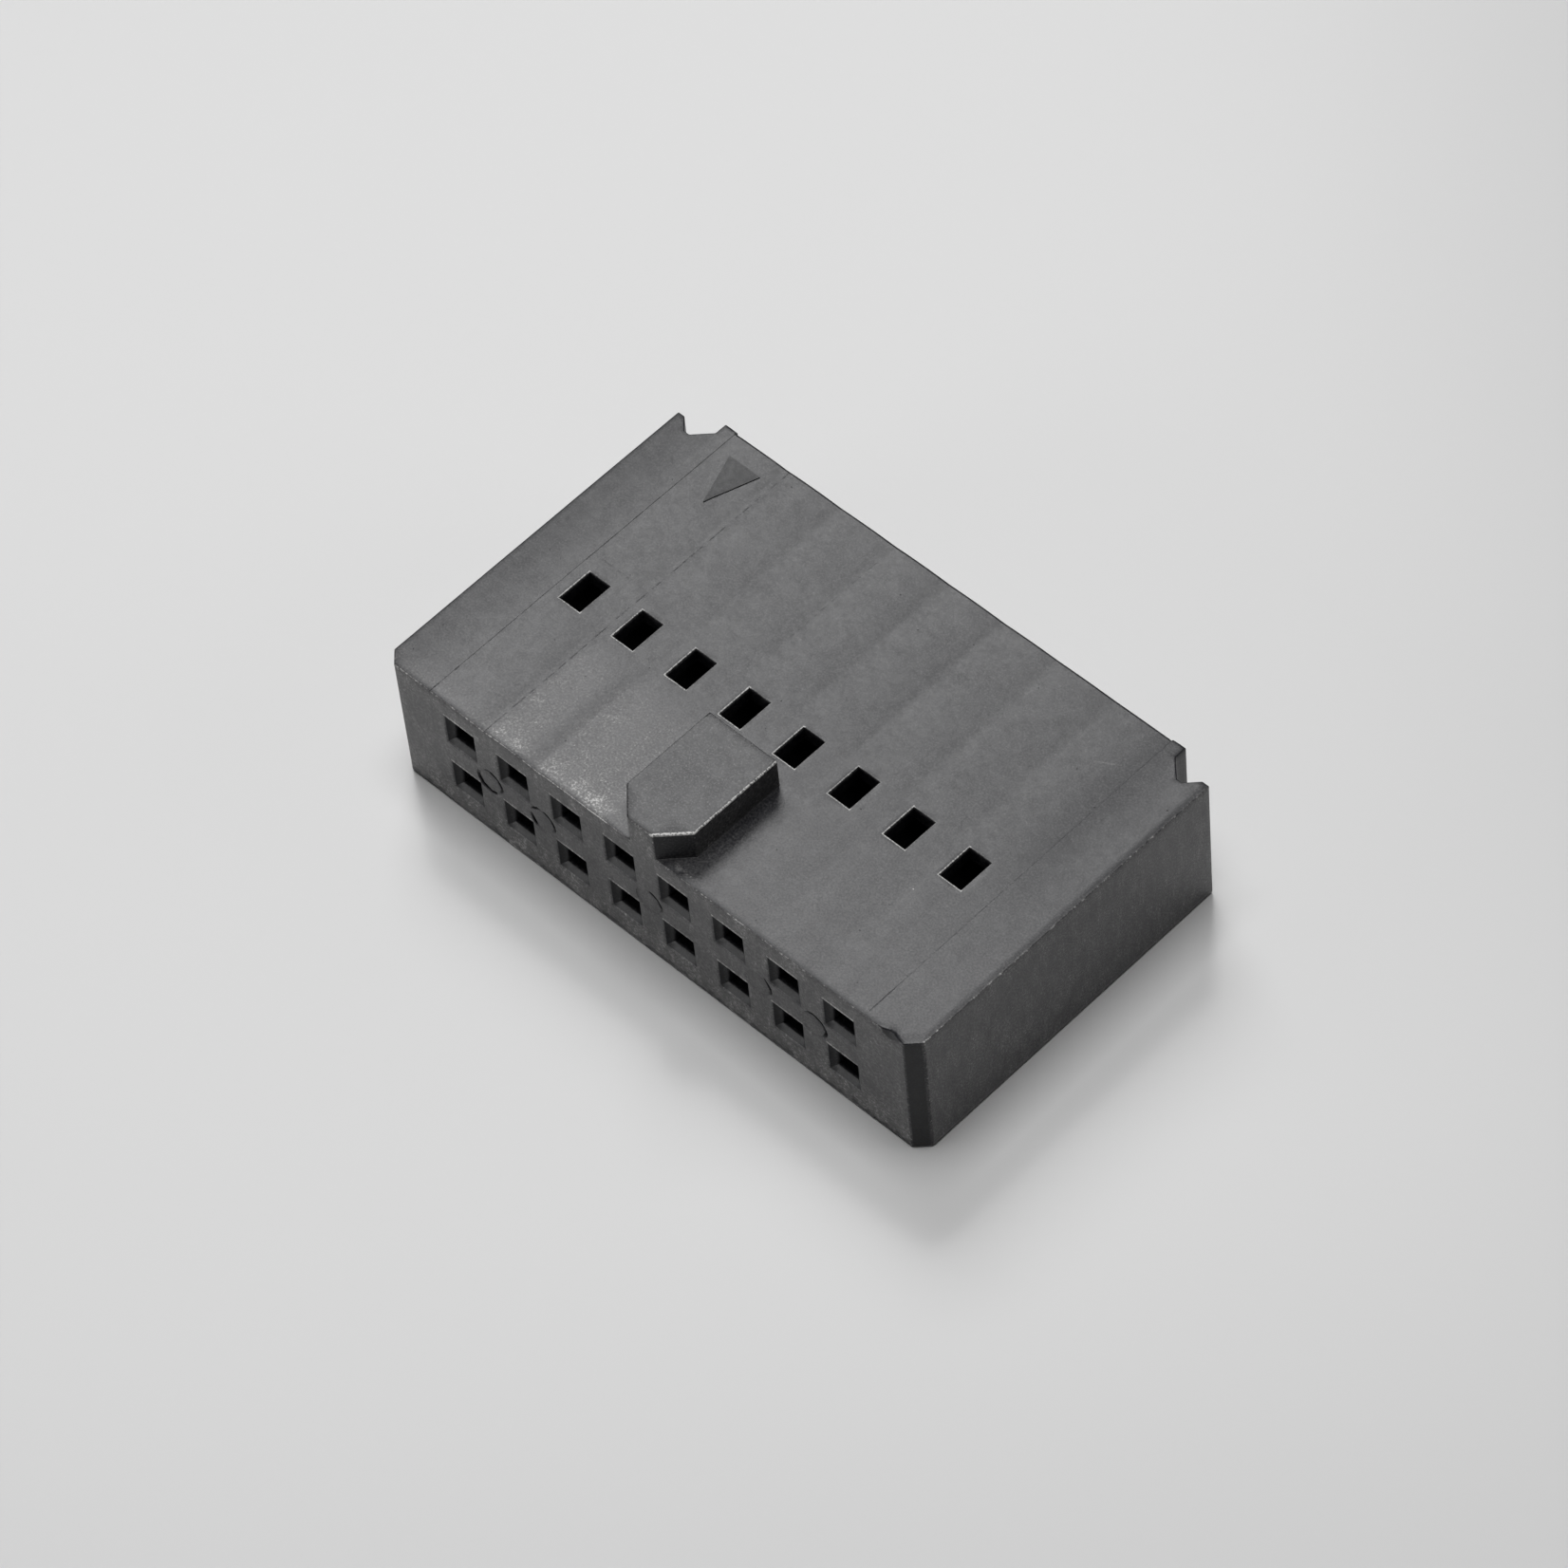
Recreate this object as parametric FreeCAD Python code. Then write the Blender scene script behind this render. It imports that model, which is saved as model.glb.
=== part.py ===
import FreeCAD, Part
import math
import os

from FreeCAD import Vector

# A moulded housing for crimped socket contacts in two rows.
# Sizes are in millimetres. X runs along the rows, Y runs from the mating face
# to the wire side, and Z is up. The origin is the middle of the footprint.

# Grid of contacts
column_count = 8
row_count = 2
column_pitch = 2.54
row_pitch = 2.54

# One contact passage, from the mating face to the wire side
entry_width = 1.5
entry_depth = 0.23
throat_width = 0.88
front_wall = 1.1
chamber_web = 0.59
chamber_length = 7.4
taper_length = 0.4
bay_web = 0.44
lead_in = 0.12

# Moulded body round the passages
body_depth = 15.0
top_wall = 0.65
floor_wall = 0.86
end_block_length = 2.22
front_chamfer = 0.5

# Fine steps where the end blocks of the mould meet the contact field
end_rise = 0.03
end_lift = 0.06
field_setback = 0.06

# Pocket in the rear corner of each end block, and the horn outside it
horn_tip_width = 0.31
horn_setback = 0.69
pocket_depth = 1.17
pocket_floor_width = 0.22
pocket_wall_depth = 0.53
horn_radius = 0.08
pocket_radius = 0.15

# Latch windows over the chambers
window_width = 0.98
window_length = 1.47
window_distance = 6.5
window_offset = 0.3

# Polarising key on top, flush with the mating face
key_width = 3.15
key_height = 1.3
key_chamfer = 1.0
key_window_gap = 0.805

# Raised triangle that marks the first contact
mark_width = 1.47
mark_length = 2.05
mark_setback = 0.9
mark_height = 0.05

# Round ejector marks on the mating face, counted in columns from the middle
ejector_places = (-3, -2, 0, 2, 3)
ejector_radius = 0.6
ejector_depth = 0.04

# How far a cutting solid runs past the surface that it opens
overrun = 1.0

# Sizes that follow
chamber_width = column_pitch - chamber_web
chamber_height = row_pitch - chamber_web
bay_width = column_pitch - bay_web
bay_height = row_pitch - bay_web
field_length = column_count * column_pitch
field_depth = body_depth - field_setback
body_height = floor_wall + (row_count - 1) * row_pitch + chamber_height + top_wall
front_face = -body_depth / 2
field_rear = front_face + field_depth
field_end = field_length / 2
window_centre = front_face + window_distance
key_length = window_distance - window_length / 2 - key_window_gap
column_places = [(index - (column_count - 1) / 2) * column_pitch for index in range(column_count)]
row_heights = [floor_wall + chamber_height / 2 + index * row_pitch for index in range(row_count)]
rows_middle = (row_heights[0] + row_heights[-1]) / 2


def corner_edges(before, here, after, radius):
    # The first point, the arc if there is one, and the last point of a corner.
    if radius == 0:
        return here, [], here
    to_before = (before - here).normalize()
    to_after = (after - here).normalize()
    half_angle = to_before.getAngle(to_after) / 2
    reach = radius / math.tan(half_angle)
    start = here + to_before * reach
    finish = here + to_after * reach
    inward = (to_before + to_after).normalize()
    middle = here + inward * (radius / math.sin(half_angle) - radius)
    return start, [Part.Arc(start, middle, finish).toShape()], finish


def outline_prism(corners, low, high):
    # A closed plan outline of (x, y, corner radius), raised from low to high.
    points = [Vector(x, y, low) for x, y, radius in corners]
    count = len(corners)
    turns = [
        corner_edges(points[index - 1], points[index], points[(index + 1) % count], corners[index][2])
        for index in range(count)
    ]
    edges = []
    for index in range(count):
        start, arc, finish = turns[index]
        edges += arc
        edges.append(Part.LineSegment(finish, turns[(index + 1) % count][0]).toShape())
    return Part.Face(Part.Wire(edges)).extrude(Vector(0, 0, high - low))


def rectangle_wire(distance, width, height):
    # An upright rectangle round the passage axis, behind the mating face.
    y = front_face + distance
    corners = [
        Vector(side * width / 2, y, lift * height / 2)
        for side, lift in ((-1, -1), (1, -1), (1, 1), (-1, 1))
    ]
    return Part.makePolygon(corners + corners[:1])


def contact_passage():
    # Lead-in for the pin, throat, chamber, taper, wire bay and rear lead-in.
    chamber_end = front_wall + chamber_length
    mouth_width = bay_width + 2 * lead_in
    mouth_height = bay_height + 2 * lead_in
    stretches = [
        ((-overrun, entry_width, entry_width), (0, entry_width, entry_width)),
        ((0, entry_width, entry_width), (entry_depth, throat_width, throat_width)),
        ((entry_depth, throat_width, throat_width), (front_wall, throat_width, throat_width)),
        ((front_wall, chamber_width, chamber_height), (chamber_end, chamber_width, chamber_height)),
        ((chamber_end, chamber_width, chamber_height), (chamber_end + taper_length, bay_width, bay_height)),
        ((chamber_end + taper_length, bay_width, bay_height), (field_depth - lead_in, bay_width, bay_height)),
        ((field_depth - lead_in, bay_width, bay_height), (field_depth, mouth_width, mouth_height)),
        ((field_depth, mouth_width, mouth_height), (field_depth + overrun, mouth_width, mouth_height)),
    ]
    solids = [
        Part.makeLoft([rectangle_wire(*near), rectangle_wire(*far)], True, True)
        for near, far in stretches
    ]
    return solids[0].multiFuse(solids[1:]).removeSplitter()


def contact_passages():
    passage = contact_passage()
    return [
        passage.translated(Vector(x, 0, z))
        for x in column_places
        for z in row_heights
    ]


def latch_windows():
    # The upper row opens through the top and the lower row through the
    # underside, where the windows lie as after half a turn about Y.
    windows = []
    sides = (
        (-window_offset, row_heights[-1], body_height + overrun),
        (window_offset, -overrun, row_heights[0]),
    )
    for offset, low, high in sides:
        for x in column_places:
            corner = Vector(x + offset - window_width / 2, window_centre - window_length / 2, low)
            windows.append(Part.makeBox(window_width, window_length, high - low, corner))
    return windows


def contact_field():
    corner = Vector(-field_end, front_face, 0)
    return Part.makeBox(field_length, field_depth, body_height, corner)


def right_end_block():
    outer = field_end + end_block_length
    rear = body_depth / 2
    horn_inside = outer - horn_tip_width
    floor_outside = horn_inside - (pocket_depth - horn_setback)
    floor_inside = floor_outside - pocket_floor_width
    pocket_inside = floor_inside - (pocket_depth - pocket_wall_depth)
    corners = [
        (field_end, front_face, 0),
        (outer - front_chamfer, front_face, 0),
        (outer, front_face + front_chamfer, 0),
        (outer, rear - horn_setback, horn_radius),
        (horn_inside, rear - horn_setback, horn_radius),
        (floor_outside, rear - pocket_depth, pocket_radius),
        (floor_inside, rear - pocket_depth, pocket_radius),
        (pocket_inside, rear - pocket_wall_depth, pocket_radius),
        (pocket_inside, rear, 0),
        (field_end, rear, 0),
    ]
    return outline_prism(corners, end_lift, body_height + end_rise)


def polarising_key():
    side = key_width / 2
    rear = front_face + key_length
    corners = [
        (-side + key_chamfer, front_face, 0),
        (side - key_chamfer, front_face, 0),
        (side, front_face + key_chamfer, 0),
        (side, rear, 0),
        (-side, rear, 0),
        (-side, front_face + key_chamfer, 0),
    ]
    return outline_prism(corners, body_height, body_height + key_height)


def first_contact_mark():
    x = column_places[0]
    base = field_rear - mark_setback
    corners = [
        (x - mark_width / 2, base, 0),
        (x, base - mark_length, 0),
        (x + mark_width / 2, base, 0),
    ]
    return outline_prism(corners, body_height, body_height + mark_height)


def ejector_marks():
    return [
        Part.makeCylinder(
            ejector_radius,
            overrun + ejector_depth,
            Vector(place * column_pitch, front_face - overrun, rows_middle),
            Vector(0, 1, 0),
        )
        for place in ejector_places
    ]


def housing():
    right_block = right_end_block()
    left_block = right_block.mirror(Vector(0, 0, 0), Vector(1, 0, 0))
    additions = [right_block, left_block, polarising_key(), first_contact_mark()]
    body = contact_field().multiFuse(additions).removeSplitter()
    return body.cut(contact_passages() + latch_windows() + ejector_marks())


os.makedirs("parts", exist_ok=True)
shape = housing().Solids[0]
shape.exportStep("parts/housing.step")
print("housing", "valid", shape.isValid(), "volume", round(shape.Volume, 2))
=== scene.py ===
import math

import bpy
import numpy as np
from mathutils import Matrix, Vector


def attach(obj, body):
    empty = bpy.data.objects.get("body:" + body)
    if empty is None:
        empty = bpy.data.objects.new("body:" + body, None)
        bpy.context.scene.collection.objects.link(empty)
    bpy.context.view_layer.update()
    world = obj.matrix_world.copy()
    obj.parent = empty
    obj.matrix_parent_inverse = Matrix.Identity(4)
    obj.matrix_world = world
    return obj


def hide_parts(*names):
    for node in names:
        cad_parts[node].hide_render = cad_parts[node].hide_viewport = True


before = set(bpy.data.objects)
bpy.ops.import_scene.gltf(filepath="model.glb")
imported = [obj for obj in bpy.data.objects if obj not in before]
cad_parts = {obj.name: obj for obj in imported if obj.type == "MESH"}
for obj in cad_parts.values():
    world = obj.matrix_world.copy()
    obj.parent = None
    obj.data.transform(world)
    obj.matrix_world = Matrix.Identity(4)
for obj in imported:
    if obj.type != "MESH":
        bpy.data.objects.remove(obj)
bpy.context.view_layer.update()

# A black moulded housing for crimped socket contacts, lying on a pale table.
# Lengths in the dictionaries are millimetres, in the frame of the CAD.
metresPerMm = 0.001
touching = 0.001  # places nearer than this are the same place
beside = 0.01  # and nearer than this lie on the same plane of cells


cameraChoices = {
    "eye": (111.03, -97.35, 197.35),
    "aim": (-0.07, -0.94, 3.0),
    "rollDegrees": -6.38,
    "lens": 165.32,
    "sensor": 36.0,
    "clip": (0.01, 10.0),  # metres
}


def addObject(name, data):
    made = bpy.data.objects.new(name, data)
    bpy.context.scene.collection.objects.link(made)
    return made


def addMaterial(name):
    made = bpy.data.materials.new(name)
    made.use_nodes = True
    return made, made.node_tree.nodes["Principled BSDF"]


def makeCamera(choices):
    # Looks from the eye to the aim, then turns about that line by the roll.
    eye = Vector(choices["eye"])
    forward = (Vector(choices["aim"]) - eye).normalized()
    level = forward.cross(Vector((0, 0, 1))).normalized()
    roll = math.radians(choices["rollDegrees"])
    right = level * math.cos(roll) + level.cross(forward) * math.sin(roll)
    up = right.cross(forward)
    turn = Matrix((right, up, -forward)).transposed().to_4x4()
    data = bpy.data.cameras.new("camera")
    data.sensor_width = choices["sensor"]
    data.lens = choices["lens"]
    data.clip_start, data.clip_end = choices["clip"]
    camera = addObject("camera", data)
    camera.matrix_world = Matrix.Translation(eye * metresPerMm) @ turn
    bpy.context.scene.camera = camera
    return camera


makeCamera(cameraChoices)
print("camera placed")


# The moulding is a block of cells whose boundary is then bent to shape.
housing = {
    "columns": 8,
    "pitch": 2.54,
    "rowHeights": (1.835, 4.375),
    "front": -7.5,
    "rear": 7.5,
    "height": 6.0,
    "halfLength": 12.38,
    "halfField": 10.16,
    "stepWidth": 0.008,
    "endRise": 0.003,  # less than in the CAD, as it looks fainter
    "endLift": 0.06,
    "fieldSetback": 0.06,
    "frontChamfer": 0.5,
    "entryHalf": 0.75,
    "entryDepth": 0.23,
    "throatHalf": 0.44,
    "frontWall": 1.1,
    "chamberHalf": 0.975,
    "chamberEnd": 8.5,
    "bayHalf": 1.05,
    "bayStart": 8.9,
    "bayBlend": 0.2,  # how far into a passage the lines follow its wall
    "mouthHalf": 1.17,
    "mouthStart": 14.82,
    "windowHalfWidth": 0.49,
    "windowHalfLength": 0.735,
    "windowOffset": 0.3,
    "windowDistance": 6.5,
    "keyHalf": 1.575,
    "keyNose": 0.575,
    "keyChamfer": 1.0,
    "keyLength": 4.96,
    "keyHeight": 1.3,
    "markHalf": 0.735,
    "markLength": 2.05,
    "markBase": 6.54,
    "markHeight": 0.035,  # likewise
    "pocketInside": 10.73,
    "pocketFloorInside": 11.37,
    "pocketFloorOutside": 11.59,
    "hornInside": 12.07,
    "pocketWallDepth": 0.53,
    "hornSetback": 0.69,
    "pocketDepth": 1.17,
    "ringRadii": (0.5, 0.565, 0.64),  # floor, bottom of the groove, outside
    "ringDepth": 0.025,
    "ringGroove": 0.22,
    "ringReach": 0.9,  # how far round a mark the lines are spread
    "ringSpread": 0.15,
    "rings": (
        # column from the middle, then turn and half width in degrees of each open arc
        (-3, ((35, 45), (235, 40))),
        (-2, ((30, 38), (128, 12), (215, 14))),
        (0, ((32, 26), (70, 14))),
        (2, ((15, 22), (40, 8))),
        (3, ((75, 32), (5, 30))),
    ),
    "sinkDepth": 0.033,
    "sinkWidths": (1.5, 0.55, 0.55, 0.55, 0.55, 0.55, 0.55, 0.6, 1.5),
    "sinksBehind": (0.3, 0.95, 0.85, 0.9, 1.0, 0.95, 0.5, 0.4, 0.1),
    "sinksAhead": (0.4, 1.4, 1.7, 0.45, 0.0, 0.2, 0.15, 0.25, 0.0),
    "sinkEverywhere": 0.15,
    "sinkRound": 0.12,  # how blunt the bottom of a sink is
    "sinkTurn": -1.0,  # y where the sinks behind and ahead meet
    "sinkFade": 2.5,
    "waves": ((0.0036, 0.9, 0.35), (0.0024, -0.4, 1.1)),  # height, radians per mm in x and y
    "undersideShare": 0.6,  # of the sinks that the underside has too
    "undersideLift": 0.0024,
    "ledgeCorner": (-7.55, 0.3),  # of the plates that two inserts left a little lower
    "ledgeDepths": (0.005, 0.01),  # ahead of that corner and behind it
    "nickPlace": 11.28,
    "nickWidth": 0.33,
    "nickDepths": (0.15, 0.05),  # inwards and downwards
    "foldGap": 0.09,
    "sharpDegrees": 28,
    "edgeRound": 0.1,
    "edgeSegments": 3,
    "edgeShares": {  # of that rounding
        "outside": 0.45, "foot": 1.0, "far": 0.85, "throat": 0.75, "entry": 0.2,
        "window": 0.3, "pocket": 0.5, "keyFar": 0.2, "keyFoot": 0.1,
    },
}
fieldSteps = (0.15, 0.295, 0.48, 0.83, 1.08)  # from a web's middle to each line
faceSteps = (0.15, 0.295, 0.41, 0.52, 0.97)  # the same lines in the front face

# Planes that lie on no edge of the part and only keep the cells even. A run is
# given by its first place, its last place and its count.
fillPlanes = {
    "ends": (10.45, 10.9, 11.05, 11.2),
    "depths": (0.75, 5.25, 5.52, 7.5, 7.85, 8.18, 14.65),
    "runs": ((1.45, 4.61, 9), (9.3, 11.6, 7), (12.3, 13.6, 4)),
    "acrossWindow": 5,
    "heights": (0.3, 5.65, 6.65),
}


def cellLines(sizes, fill):
    # The x, y and z planes between the cells: every edge of the part lies on one.
    webs = (np.arange(sizes["columns"] + 1) - sizes["columns"] / 2) * sizes["pitch"]
    steps = np.array(fieldSteps)
    x = np.concatenate([webs, *[webs[:-1] + s for s in steps], *[webs[1:] - s for s in steps]])
    marks = -webs[-1] + sizes["pitch"] / 2 + np.array((-1, 1)) * sizes["markHalf"]
    key = np.array((-sizes["keyHalf"], -sizes["keyNose"], sizes["keyNose"], sizes["keyHalf"]))
    end = np.array((
        sizes["halfField"] + sizes["stepWidth"],
        sizes["pocketInside"],
        sizes["pocketFloorInside"],
        sizes["pocketFloorOutside"],
        sizes["halfLength"] - sizes["frontChamfer"],
        sizes["hornInside"],
        sizes["halfLength"],
        *fill["ends"],
    ))
    x = np.concatenate([x, marks, key, end, -end])
    depth = sizes["rear"] - sizes["front"]
    window = np.array((-1, 1)) * sizes["windowHalfLength"] + sizes["windowDistance"]
    markBase = sizes["markBase"] - sizes["front"]
    y = np.concatenate([
        (0, sizes["entryDepth"], sizes["frontChamfer"], sizes["keyChamfer"], sizes["frontWall"]),
        (sizes["keyLength"], sizes["chamberEnd"], sizes["bayStart"], sizes["mouthStart"], depth),
        (markBase, markBase - sizes["markLength"]),
        (depth - sizes["pocketDepth"], depth - sizes["hornSetback"], depth - sizes["pocketWallDepth"]),
        np.linspace(*window, fill["acrossWindow"]),
        *[np.linspace(*run) for run in fill["runs"]],
        fill["depths"],
    ])
    low, high = sizes["rowHeights"]
    web = (low + high) / 2
    top = sizes["height"]
    z = np.concatenate([
        (0, low - sizes["chamberHalf"], low - sizes["throatHalf"], low),
        (high, high + sizes["throatHalf"], high + sizes["chamberHalf"]),
        web - steps[:4],
        (web,),
        web + steps[:4],
        (top, top + sizes["markHeight"], top + sizes["keyHeight"]),
        fill["heights"],
    ])
    return [np.unique(np.round(line, 4)) for line in (x, y + sizes["front"], z)]


def nearest(values, places):
    # The signed distance of each value from the nearest of the places.
    places = np.asarray(places)
    return values - places[np.abs(values[:, None] - places[None, :]).argmin(1)]


def columnPlaces(sizes):
    return (np.arange(sizes["columns"]) - (sizes["columns"] - 1) / 2) * sizes["pitch"]


def inRows(sizes, z):
    # True between the floor of the lower chambers and the roof of the upper ones.
    reach = sizes["chamberHalf"] + touching
    return (z > sizes["rowHeights"][0] - reach) & (z < sizes["rowHeights"][1] + reach)


def solidCells(sizes, lines):
    # True for each cell that is plastic, from the middles of the cells. Masks over
    # x, y and z are spread against each other to cover all cells.
    x, y, z = [(line[1:] + line[:-1]) / 2 for line in lines]
    columns = columnPlaces(sizes)
    side = np.abs(x)
    depth = y - sizes["front"]
    back = sizes["rear"] - y
    body = np.broadcast_to(z < sizes["height"], (len(x), len(y), len(z)))
    corner = (side > sizes["halfLength"] - sizes["frontChamfer"])[:, None]
    corner = corner & (depth < sizes["frontChamfer"])
    pocket = (
        ((side > sizes["pocketInside"])[:, None] & (back < sizes["pocketWallDepth"]))
        | ((side > sizes["pocketFloorInside"])[:, None] & (back < sizes["hornSetback"]))
        | (((side > sizes["pocketFloorInside"]) & (side < sizes["pocketFloorOutside"]))[:, None]
           & (back < sizes["pocketDepth"]))
    )
    body = body & ~(corner | pocket)[:, :, None]
    keyPlan = (side < sizes["keyHalf"])[:, None] & (depth < sizes["keyLength"])
    keyCut = (side > sizes["keyNose"])[:, None] & (depth < sizes["keyChamfer"])
    body |= (keyPlan & ~keyCut)[:, :, None] & (z > sizes["height"])
    across = np.abs(nearest(x, columns))
    upright = np.abs(nearest(z, sizes["rowHeights"]))
    inside = (z < sizes["height"]) & (side < sizes["halfField"])[:, None, None]
    throat = (across < sizes["throatHalf"])[:, None] & (upright < sizes["throatHalf"])
    chamber = (across < sizes["chamberHalf"])[:, None] & (upright < sizes["chamberHalf"])
    front = (depth < sizes["frontWall"])[None, :, None]
    body &= ~(inside & ((throat[:, None, :] & front) | (chamber[:, None, :] & ~front)))
    reach = (np.abs(depth - sizes["windowDistance"]) < sizes["windowHalfLength"])[None, :, None]
    above = ((z > sizes["rowHeights"][1]) & (z < sizes["height"]))
    below = (z < sizes["rowHeights"][0])
    upper = (np.abs(nearest(x, columns - sizes["windowOffset"])) < sizes["windowHalfWidth"])[:, None, None]
    lower = (np.abs(nearest(x, columns + sizes["windowOffset"])) < sizes["windowHalfWidth"])[:, None, None]
    body &= ~(inside & reach & ((upper & above) | (lower & below)))
    mark = (np.abs(x - columns[0]) < sizes["markHalf"])[:, None, None]
    mark = mark & ((y < sizes["markBase"]) & (y > sizes["markBase"] - sizes["markLength"]))[None, :, None]
    return body | (mark & (np.abs(z - sizes["height"] - sizes["markHeight"] / 2) < sizes["markHeight"] / 2))


def boundaryFaces(solid):
    # A face wherever a solid cell meets an empty one, its corners as line numbers.
    cells = np.pad(solid, 1)
    faces = []
    for axis in range(3):
        turned = np.moveaxis(cells, axis, 0)[:, 1:-1, 1:-1]
        for outward in (True, False):
            inner, outer = (turned[:-1], turned[1:]) if outward else (turned[1:], turned[:-1])
            place = np.argwhere(inner & ~outer)
            ring = np.array(((0, 0, 0), (0, 1, 0), (0, 1, 1), (0, 0, 1)))
            if outward == (axis == 1):
                ring = ring[::-1]
            corners = place[:, None, :] + ring[None, :, :]
            order = np.insert(np.arange(1, 3), axis, 0)
            faces.append(corners[:, :, order])
    return np.concatenate(faces)


def foldCorner(x, y, where, xPair, yPair, moved, gap):
    # A square block pressed to a triangle: its corner `moved` goes to the middle of
    # the diagonal and every other point follows by bilinear interpolation. Points
    # inside are then kept the gap away from the diagonal, clear of the bevel.
    (x0, x1), (y0, y1) = xPair, yPair
    tiny = 1e-4
    inside = where & (x > min(x0, x1) - tiny) & (x < max(x0, x1) + tiny)
    inside &= (y > min(y0, y1) - tiny) & (y < max(y0, y1) + tiny)
    s = (x[inside] - x0) / (x1 - x0)
    t = (y[inside] - y0) / (y1 - y0)
    weight = (s if moved[0] else 1 - s) * (t if moved[1] else 1 - t)
    cornerX, cornerY = (x1 if moved[0] else x0), (y1 if moved[1] else y0)
    x[inside] += weight * ((x0 + x1) / 2 - cornerX)
    y[inside] += weight * ((y0 + y1) / 2 - cornerY)
    towardX, towardY = x0 + x1 - 2 * cornerX, y0 + y1 - 2 * cornerY
    away = (x[inside] - cornerX - towardX) * towardY + (y[inside] - cornerY) * towardX
    length = math.hypot(towardX, towardY)
    lean = np.sign(towardX * towardY)
    away *= lean / length
    between = (s > tiny) & (s < 1 - tiny) & (t > tiny) & (t < 1 - tiny)
    push = np.where(between, np.clip(gap - away, 0, None), 0) * lean / length
    x[inside] += push * towardY
    y[inside] += push * towardX


def shapePassages(sizes, base, points):
    # Pin funnels in front and wider bays behind: each wall's distance from the
    # passage axis is a function of the depth.
    depth = base[:, 1] - sizes["front"]
    columns = columnPlaces(sizes)
    level = inRows(sizes, base[:, 2]) & (np.abs(base[:, 0]) < sizes["halfField"] + touching)
    half = sizes["pitch"] / 2
    known = np.sort(half - np.array((0, *fieldSteps)))
    face = np.sort(half - np.array((0, *faceSteps)))
    funnel = np.clip(1 - depth / sizes["entryDepth"], 0, 1)
    wall = np.interp(
        depth,
        (sizes["chamberEnd"], sizes["bayStart"], sizes["mouthStart"], sizes["rear"] - sizes["front"]),
        (sizes["chamberHalf"], sizes["bayHalf"], sizes["bayHalf"], sizes["mouthHalf"]),
    )
    for axis, places in ((0, columns), (2, np.array(sizes["rowHeights"]))):
        away = nearest(base[:, axis], places)
        size = np.abs(away)
        shifted = np.interp(size, (0, *known), (0, *face)) - size
        blendStart = sizes["chamberHalf"] - sizes["bayBlend"]
        bay = np.interp(size, (blendStart, sizes["chamberHalf"], half), (0, 1, 0))
        shifted = shifted * funnel + bay * (wall - sizes["chamberHalf"])
        points[:, axis] += np.where(level & (size < half), np.sign(away) * shifted, 0)


def shapeRings(sizes, base, points):
    # Ejector marks: squares of lines in the front face become circles, a little
    # sunk, and an open groove runs round them over some arcs. The lines from them
    # to the pin entries are spread, least at the entries. A groove has its full
    # depth to half its half width and ends at one and a half times it.
    front = (base[:, 1] < sizes["front"] + touching) & inRows(sizes, base[:, 2])
    middle = sum(sizes["rowHeights"]) / 2
    grooveLine, outerLine, entry = faceSteps[1:4]
    reach = sizes["ringReach"]
    for place, arcs in sizes["rings"]:
        u = points[:, 0] - place * sizes["pitch"]
        v = points[:, 2] - middle
        large = np.maximum(np.abs(u), np.abs(v))
        small = np.minimum(np.abs(u), np.abs(v))
        near = front & (large < outerLine + beside) & (large > touching)
        radius = np.interp(large, (0, *faceSteps[:3]), (0, *sizes["ringRadii"]))
        scale = np.where(near, radius / np.maximum(np.hypot(u, v), touching), 1)
        strip = front & (large > outerLine + beside) & (large < reach) & (small < entry - touching)
        push = sizes["ringSpread"] * (reach - large) / (reach - entry) * (1 - (small / entry) ** 2)
        across = np.abs(u) >= np.abs(v)
        newU = u * scale + np.where(strip & across, np.sign(u) * push, 0)
        newV = v * scale + np.where(strip & ~across, np.sign(v) * push, 0)
        points[:, 0] += newU - u
        points[:, 2] += newV - v
        turn = np.degrees(np.arctan2(newV, newU))
        opened = np.zeros(len(points))
        for centre, halfWidth in arcs:
            away = np.abs((turn - centre + 180) % 360 - 180)
            opened = np.maximum(opened, np.clip(1.5 - away / halfWidth, 0, 1))
        groove = np.abs(large - grooveLine) < beside
        points[:, 1] += np.where(front & (large < grooveLine + beside), sizes["ringDepth"], 0)
        points[:, 1] += np.where(front & groove, sizes["ringGroove"] * opened, 0)


def shapeMark(sizes, base, points):
    # The raised block for the first contact narrows to a point: its width is
    # proportional to the distance from the tip, down to a fiftieth.
    centre = columnPlaces(sizes)[0]
    tip = sizes["markBase"] - sizes["markLength"]
    high = base[:, 2] > sizes["height"] - touching
    high &= (base[:, 1] > tip - touching) & (base[:, 1] < sizes["markBase"] + touching)
    high &= np.abs(base[:, 0] - centre) < sizes["markHalf"] + touching
    share = np.clip((base[:, 1] - tip) / sizes["markLength"], 0.02, 1)
    points[:, 0] = np.where(high, centre + (base[:, 0] - centre) * share, points[:, 0])


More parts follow.
